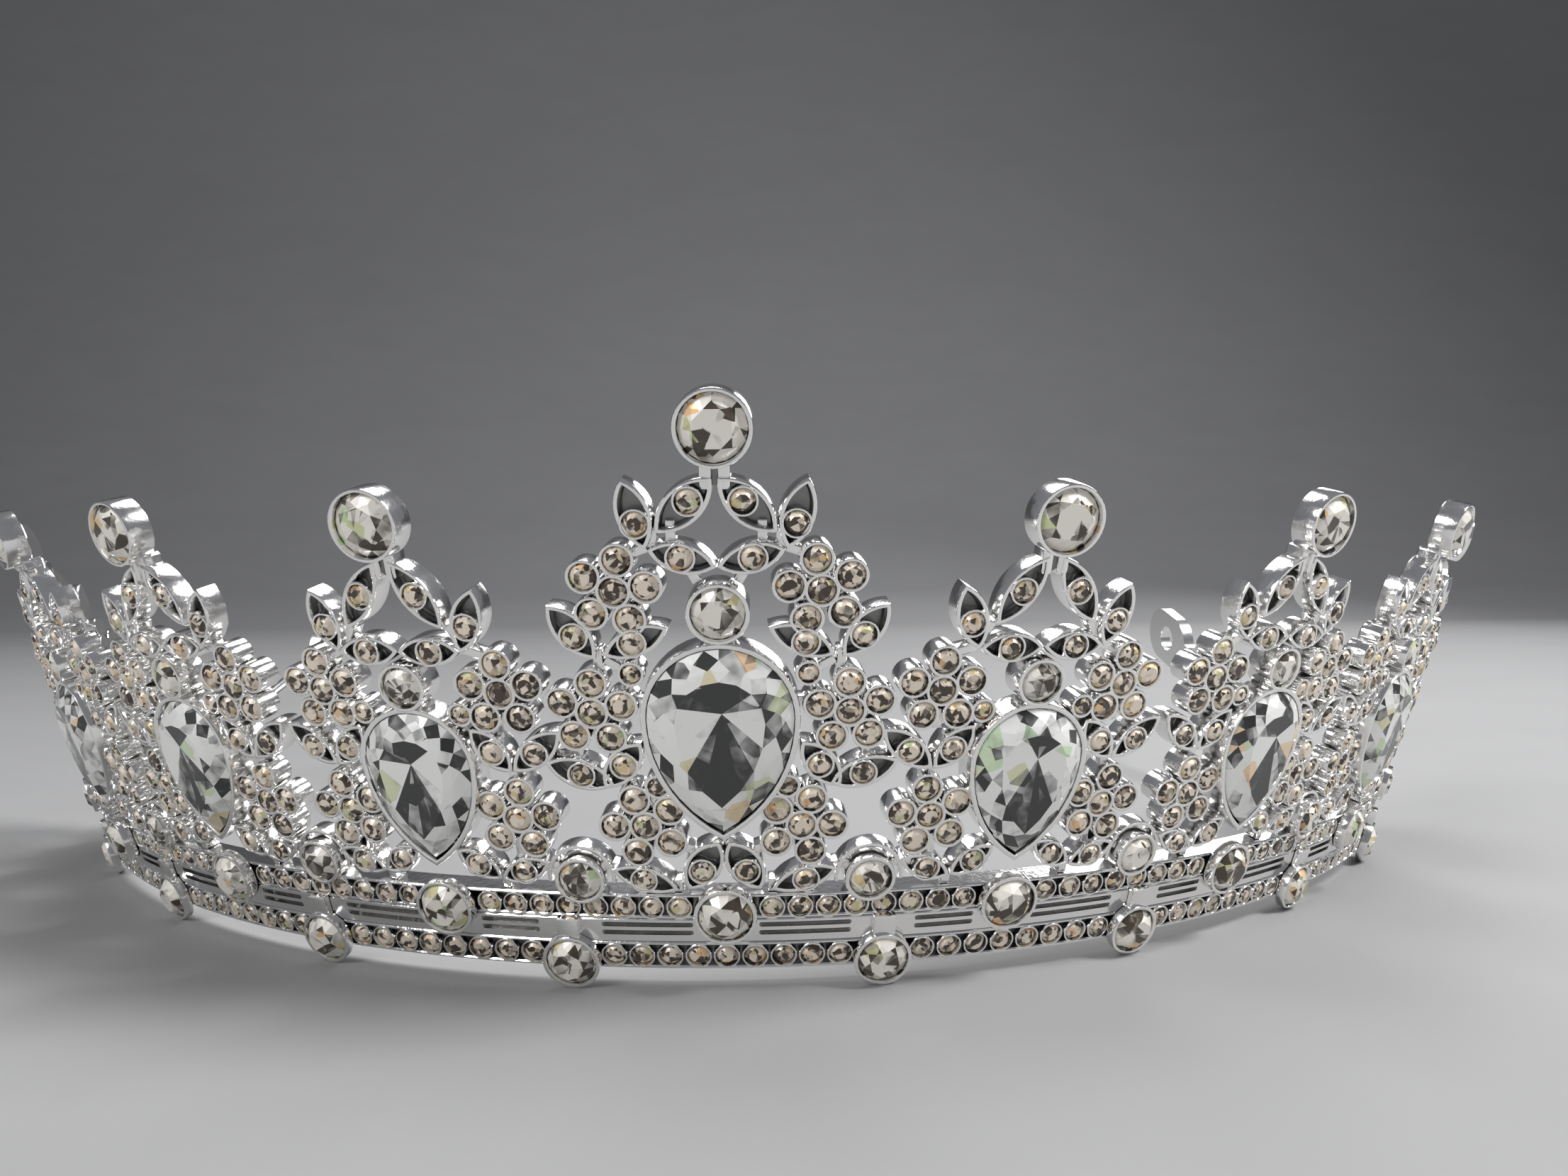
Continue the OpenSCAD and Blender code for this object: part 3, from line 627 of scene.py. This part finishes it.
def buildPear(k):
    v, r, tail = shapeOf(k)["pear"]
    build = newBuild()
    place = besidePeak(k, 0, v)
    count = pearCut["sides"]
    inner = r - pearSetting["wall"]
    outline = pearOutline(inner - seatGap, tail * inner / r, count * 2)
    rim = pearSetting["rim"]
    dome = pearSetting["dome"]

    def ring(inset, z, shift):
        points = outline(inset)
        return [addPoint(build, place, (*points[(2 * i + shift) % (count * 2)], z)) for i in range(count)]

    focus = addPoint(build, place, (pearCut["focusU"], pearCut["focusV"] * tail,
                                    rim + dome * pearCut["focusHeight"]))
    table = ring(r * pearCut["table"], rim + dome, 0)
    stars = ring(r * pearCut["star"], rim + dome * pearCut["starHeight"], 1)
    kites = ring(r * pearCut["kite"], rim + dome * pearCut["kiteHeight"], 0)
    edge = ring(0, rim - pearCut["edgeDown"], 1)
    corners = ring(0, rim - pearCut["cornerDown"], 0)
    girdle = [point for pair in zip(corners, edge) for point in pair]
    base = ring(pearCut["footInset"], rim - pearCut["footDown"], 0)
    other = ring(pearCut["footInset"], rim - pearCut["footDown"], 1)
    foot = [point for pair in zip(base, other) for point in pair]
    culet = addPoint(build, place, (0, pearCut["culetV"] * tail, pearCut["culetHeight"]))
    for i in range(count):
        j = (i + 1) % count
        odd = i % 2
        chance = wander(i + 40 * (k + 5), 3.1)
        # shine is the painted reflection of each table facet: darker towards the top and the tip
        ray = abs(math.sin(math.tau * (i + 0.5) / count))  # near 1 towards the top and the tip
        shine = 1.1 - 1.15 * ray ** 1.4 + 0.5 * (chance - 0.5) + (0.15 if odd else -0.1)
        addFace(build, (focus, table[i], table[j]), shine)
        addFace(build, (table[i], stars[i], table[j]), 0.15 + 0.95 * wander(i + k * 7, 4.2))
        addFace(build, (stars[i - 1], kites[i], stars[i], table[i]), 0.45 + 0.6 * wander(i + k * 9, 5.3))
        addFace(build, (stars[i], kites[i], edge[i], kites[j]), 0.05 + 0.9 * wander(i + k * 5, 6.4))
        addFace(build, (kites[i], corners[i], edge[i]), 0.75 + 0.2 * chance)
        addFace(build, (kites[j], edge[i], corners[j]), 0.25 + 0.4 * chance)
    for i in range(count * 2):
        j = (i + 1) % (count * 2)
        addFace(build, (girdle[i], foot[i], foot[j], girdle[j]), roundCut["girdleTone"])
        addFace(build, (foot[i], culet, foot[j]), roundCut["backTone"])
    piece = finishPiece(f"pear_{peakNames[k]}", build, pearGlass, faceted=True)
    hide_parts(f"pear_stone_{peakNames[k]}")


for k in peakNames:
    buildPear(k)

# Round stones of the peaks

# girdle height, crown height and depth behind the girdle
largeCuts = {"crest": (1.75, 0.75, 1.25), "collet": (1.25, 0.55, 1)}
smallCut = {"girdle": 0.86, "crown": 0.42, "depth": 0.66, "leafRise": 0.08, "leafInset": 0.13, "beadCrown": 0.8}

for k in peakNames:
    shape = shapeOf(k)
    build = newBuild()
    addBrilliant(build, besidePeak(k, 0, shape["crest"]), crestCup["stone"] - seatGap,
                 *largeCuts["crest"], 11 + k)
    piece = finishPiece(f"crest_{peakNames[k]}", build, crestGlass, faceted=True)
    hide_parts(f"crest_stone_{peakNames[k]}")
    build = newBuild()
    v, r = shape["collet"]
    addBrilliant(build, besidePeak(k, 0, v), r - seatGap, *largeCuts["collet"], 31 + k)
    piece = finishPiece(f"collet_{peakNames[k]}", build, crestGlass, faceted=True)
    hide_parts(f"collet_stone_{peakNames[k]}")

peakSets = {"centre": [0], "left": [-4, -3, -2, -1], "right": [1, 2, 3, 4]}
for label, members in peakSets.items():
    petals = newBuild()
    leaves = newBuild()
    index = len(label) * 100
    for k in members:
        shape = shapeOf(k)
        for side in (1, -1):
            for flower in shape["flowers"]:
                for place in flowerPlaces(k, side, flower):
                    index += 1
                    addBrilliant(petals, place, petal["stone"] - seatGap, smallCut["girdle"],
                                 smallCut["crown"], smallCut["depth"], index)
            for leaf in shape["leaves"]:
                index += 1
                addBrilliant(leaves, besidePeak(k, side * leaf[5], leaf[6]),
                             petal["stone"] - smallCut["leafInset"], smallCut["girdle"] + smallCut["leafRise"],
                             smallCut["crown"], smallCut["depth"], index)
            for u, v in shape["beads"]:
                index += 1
                addBrilliant(leaves, besidePeak(k, side * u, v), petal["bead"] - seatGap,
                             smallCut["girdle"], smallCut["crown"] * smallCut["beadCrown"],
                             smallCut["depth"], index)
    for kind, build in (("flower", petals), ("leaf", leaves)):
        piece = finishPiece(f"{kind}Stones_{label}", build, smallGlass, faceted=True)
        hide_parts(f"{kind}_stones_{label}")
print("peak stones cut")

# Band

band = {
    "lower": (1.3, 3.66), "rail": (3.69, 5.69), "upper": (5.72, 7.85), "lip": 0.28, "front": 0.85,
    "floor": 0.15, "ease": 0.08, "grooves": (4.35, 5.05), "grooveHeight": 0.34, "grooveDepth": 0.5,
    "grooveClear": 2.4, "grooveBevel": 0.03, "step": 1.1, "firstDrop": 11.6, "firstBridge": 10.3,
}
drops = [band["firstDrop"] + wall["peakPitch"] * j for j in range(4)]
bridges = [band["firstBridge"] + wall["peakPitch"] * j for j in range(4)]


def bothSides(values):
    return [-s for s in reversed(values)] + list(values)


def spanPlaces(low, high, step):
    count = max(1, round((high - low) / step))
    return [low + (high - low) * i / count for i in range(count + 1)]


def sweepBand(build, places, profile):
    # profile(s) gives (depth, height, recess) round the section
    rings = []
    for s in places:
        place = onWall(s, 0)
        rings.append([addPoint(build, place, (0, v, w), recess) for w, v, recess in profile(s)])
    count = len(rings[0])
    for near, far in zip(rings, rings[1:]):
        for i in range(count):
            j = (i + 1) % count
            addFace(build, (near[i], far[i], far[j], near[j]))
    addFace(build, tuple(rings[0]))
    addFace(build, tuple(reversed(rings[-1])))


def channelProfile(low, high):
    lip, front, floor, e = band["lip"], band["front"], band["floor"], band["ease"]
    back = -wall["castBack"]

    def profile(s):
        # recess values paint shade on the channel floor and the back
        return [(back, low, 0.1), (front - e, low, 0), (front, low + e, 0), (front, low + lip - e, 0),
                (front - e, low + lip, 0), (floor, low + lip, 0.7), (floor, high - lip, 0.7),
                (front - e, high - lip, 0), (front, high - lip + e, 0), (front, high - e, 0),
                (front - e, high, 0), (back, high, 0.1)]
    return profile


# "clear" is from a cup's middle to the first stone, "last" from the last stone to the band's end
rows = {
    "lower": {"v": 2.5, "stone": 0.88, "clear": 3.15, "step": 2.1, "ends": drops},
    "upper": {"v": 6.75, "stone": 0.85, "clear": 3.35, "step": 2.02, "ends": [peakAt(k) for k in range(5)]},
}
rowCup = {"wall": 0.14, "rim": 0.96, "ease": 0.05, "last": 1.6}
rowCut = {"girdle": 0.62, "crown": 0.38, "depth": 0.44}


def rowPlaces(row):
    found = []
    ends = row["ends"] if row["ends"][0] == 0 else [-row["ends"][0]] + row["ends"]
    for a, b in zip(ends, ends[1:] + [wall["bandReach"]]):
        low = a + row["clear"]
        room = b - low - (rowCup["last"] if b == wall["bandReach"] else row["clear"])
        gaps = math.floor(room / row["step"] + 0.01)
        places = [low + room * i / gaps for i in range(gaps + 1)]
        found += places if a < 0 else bothSides(places)
    return found


wholeBand = spanPlaces(-wall["bandReach"], wall["bandReach"], band["step"])
for name, row in rows.items():
    build = newBuild()
    sweepBand(build, wholeBand, channelProfile(*band[name]))
    for s in rowPlaces(row):
        addCup(build, onWall(s, row["v"]), circleOutline(row["stone"] + rowCup["wall"], 20), rowCup["wall"],
               rowCup["rim"], band["floor"], -band["floor"], rowCup["ease"])
    piece = finishPiece(f"{name}Channel", build, bandSilver)
    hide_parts(f"{name}_gallery")

marks = [0] + sorted(drops + [peakAt(k) for k in range(1, 5)]) + [wall["bandReach"] + 1]
grooveSpans = [(a + band["grooveClear"], b - band["grooveClear"]) for a, b in zip(marks, marks[1:])]


def grooveShare(s):
    # 0 outside a groove, 1 along it, round at its ends
    radius = band["grooveHeight"] / 2
    for low, high in grooveSpans:
        if low < abs(s) < high:
            near = min(abs(s) - low, high - abs(s))
            if near >= radius:
                return 1
            return math.sqrt(1 - (1 - near / radius) ** 2)
    return 0


def railProfile(s):
    low, high = band["rail"]
    front, e, bevel, back = band["front"], band["ease"], band["grooveBevel"], -wall["castBack"]
    share = grooveShare(s)
    points = [(back, low, 0.1), (front - e, low, 0), (front, low + e, 0)]
    for start in band["grooves"]:
        middle = start + band["grooveHeight"] / 2
        half = band["grooveHeight"] / 2 * max(share, 0.02)  # never quite closed
        deep = band["grooveDepth"] * (1 if share > 0 else 0)
        # the bottom of each groove gets painted shade through its recess value
        points += [(front, middle - half - bevel, 0), (front - deep, middle - half, deep),
                   (front - deep, middle + half, deep), (front, middle + half + bevel, 0)]
    return points + [(front, high - e, 0), (front - e, high, 0), (back, high, 0.1)]


# extra sections close together where a groove begins and ends
railPlaces = set(wholeBand)
for low, high in grooveSpans:
    for edge, way in ((low, 1), (high, -1)):
        for step in (-0.001, 0.001, 0.01, 0.04, 0.09, 0.17):
            place = edge + way * step
            if place < wall["bandReach"]:
                railPlaces.update((place, -place))
build = newBuild()
sweepBand(build, sorted(railPlaces), railProfile)
piece = finishPiece("rail", build, bandSilver)
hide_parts("band_rail")
print("band swept")

# Cups and stones on the band

# "drop", "base" and "bridge" give v, inner radius and rim
frontCups = {
    "back": 0.88, "floor": 1.15, "wall": 0.3, "ease": 0.09,
    "drop": (2.2, 1.95, 1.7), "base": (6.45, 2.05, 1.8), "bridge": (9.25, 1.6, 1.5),
}
dropTie = {"up": 0.95, "width": 1.7, "height": 1.75, "corner": 0.12, "front": 1.5, "ease": 0.1}
hood = {"radius": 2.3, "thick": 0.32, "from": -10, "to": 190, "low": -0.6, "high": 0.85}


def hoodOutline(count=18):
    span = [math.radians(hood["from"] + (hood["to"] - hood["from"]) * i / count) for i in range(count + 1)]

    def draw(inset):
        outer = hood["radius"] + hood["thick"] - inset
        inner = hood["radius"] + inset
        return ([(outer * math.cos(a), outer * math.sin(a)) for a in span]
                + [(inner * math.cos(a), inner * math.sin(a)) for a in reversed(span)])
    return draw


def addBandCup(build, s, name, floor, back, count=36):
    v, r, rim = frontCups[name]
    addCup(build, onWall(s, v), circleOutline(r + frontCups["wall"], count), frontCups["wall"], rim,
           floor, back, frontCups["ease"])


build = newBuild()
tie = barOutline(dropTie["width"], dropTie["height"], dropTie["corner"])
for s in bothSides(drops):
    addBandCup(build, s, "drop", frontCups["floor"], -frontCups["back"])
    v, r, rim = frontCups["drop"]
    addPlate(build, onWall(s, v + r + dropTie["up"]), tie, frontCups["back"], dropTie["front"], dropTie["ease"])
piece = finishPiece("dropCups", build, bandSilver)
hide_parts("drop_cups")

build = newBuild()
for k in range(-4, 5):
    addBandCup(build, peakAt(k), "base", frontCups["floor"], -frontCups["back"])
piece = finishPiece("baseCups", build, bandSilver)
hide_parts("base_cups")

build = newBuild()
for s in bothSides(bridges):
    addBandCup(build, s, "bridge", petal["floor"], wall["castBack"], 32)
    addPlate(build, onWall(s, frontCups["bridge"][0]), hoodOutline(), hood["low"], hood["high"])
piece = finishPiece("bridgeCups", build, bandSilver)
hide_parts("bridge_cups")

# places, then girdle height, crown height and depth
bandStones = {
    "drop": (bothSides(drops), 1.45, 0.75, 0.55),
    "base": ([peakAt(k) for k in range(-4, 5)], 1.55, 0.75, 0.6),
    "bridge": (bothSides(bridges), 1.2, 0.6, 1.0),
}
for name, (places, *cut) in bandStones.items():
    v, r, rim = frontCups[name]
    build = newBuild()
    for index, s in enumerate(places):
        addBrilliant(build, onWall(s, v), r - seatGap, *cut, index + r * 50)
    piece = finishPiece(f"{name}Stones", build, crestGlass, faceted=True)
    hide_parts(f"{name}_stones")

for name, row in rows.items():
    build = newBuild()
    for index, s in enumerate(rowPlaces(row)):
        addBrilliant(build, onWall(s, row["v"]), row["stone"] - seatGap, rowCut["girdle"], rowCut["crown"],
                     rowCut["depth"], index + row["v"] * 100)
    piece = finishPiece(f"{name}RowStones", build, smallGlass, faceted=True)
    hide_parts(f"{name}_row_stones")
print("band stones set")

# The CAD's rods and tabs stay and take the drawn-wire silver

for name in ("end_rod_left", "end_rod_right", "end_tab_left", "end_tab_right"):
    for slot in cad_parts[name].material_slots:
        slot.material = rodSilver

# Floor, light and camera

stage = {
    "halfWidth": 1.6, "colour": (0.3, 0.3, 0.302, 1), "grainColour": (0.27, 0.27, 0.272, 1), "grain": 60,
    # y and z of the sheet, flat and then curving up behind
    "sheet": [(-1.2, 0), (0.55, 0), (0.7, 0.02), (0.82, 0.08), (0.9, 0.18), (0.94, 0.34), (0.96, 1.1)],
}


def makeFloor():
    mesh = bpy.data.meshes.new("floor")
    points = []
    for y, z in stage["sheet"]:
        points += [(-stage["halfWidth"], y, z), (stage["halfWidth"], y, z)]
    faces = [(i, i + 1, i + 3, i + 2) for i in range(0, len(points) - 2, 2)]
    mesh.from_pydata(points, [], faces)
    mesh.polygons.foreach_set("use_smooth", [True] * len(mesh.polygons))
    material, tree, shader = newMaterial("paper")
    shader.inputs["Roughness"].default_value = 0.8
    grain = addNode(tree, "ShaderNodeTexNoise", Scale=stage["grain"], Detail=3)
    tree.links.new(mixColour(tree, grain.outputs["Fac"], stage["colour"], stage["grainColour"]),
                   shader.inputs["Base Color"])
    mesh.materials.append(material)
    floor = bpy.data.objects.new("floor", mesh)
    bpy.context.scene.collection.objects.link(floor)


makeFloor()

lamps = {
    "key": {"at": (0.42, -0.12, 0.5), "size": 0.22, "power": 5},
    "fill": {"at": (-0.4, -0.45, 0.4), "size": 0.3, "power": 2.2},
    "top": {"at": (-0.05, 0.12, 0.6), "size": 0.35, "power": 1.5},
    "back": {"at": (0.3, 0.5, 0.35), "size": 0.3, "power": 1.2},
}
for name, lamp in lamps.items():
    light = bpy.data.lights.new(name, "AREA")
    light.shape = "DISK"
    light.size = lamp["size"]
    light.energy = lamp["power"]
    holder = bpy.data.objects.new(name, light)
    holder.location = lamp["at"]
    aim = Vector((0, 0, 0.02)) - holder.location
    holder.rotation_euler = aim.to_track_quat("-Z", "Y").to_euler()
    bpy.context.scene.collection.objects.link(holder)

room = {"colour": (0.9, 0.92, 1, 1), "strength": 0.2}
world = bpy.data.worlds.new("studio")
bpy.context.scene.world = world
world.use_nodes = True
world.node_tree.nodes["Background"].inputs["Color"].default_value = room["colour"]
world.node_tree.nodes["Background"].inputs["Strength"].default_value = room["strength"]
bpy.context.scene.view_settings.view_transform = "Standard"

# millimetres and radians; pitch is downward
view = {"at": (4.04, -119.72, 31.46), "yaw": 0.0063, "pitch": 0.0118, "roll": -0.0076, "lens": 23.67}
forward = Vector((math.sin(view["yaw"]) * math.cos(view["pitch"]),
                  math.cos(view["yaw"]) * math.cos(view["pitch"]), -math.sin(view["pitch"])))
right = Vector((math.cos(view["yaw"]), -math.sin(view["yaw"]), 0))
up = right.cross(forward)
tilt = Matrix.Rotation(-view["roll"], 3, forward)
right, up = tilt @ right, tilt @ up
cameraData = bpy.data.cameras.new("camera")
cameraData.lens = view["lens"]
cameraData.sensor_width = 36
cameraData.clip_start = 0.001
camera = bpy.data.objects.new("camera", cameraData)
turned = Matrix((right, up, -forward)).transposed().to_4x4()
turned.translation = Vector(view["at"]) * mm
camera.matrix_world = turned
bpy.context.scene.collection.objects.link(camera)
bpy.context.scene.camera = camera
print("stage and camera set")
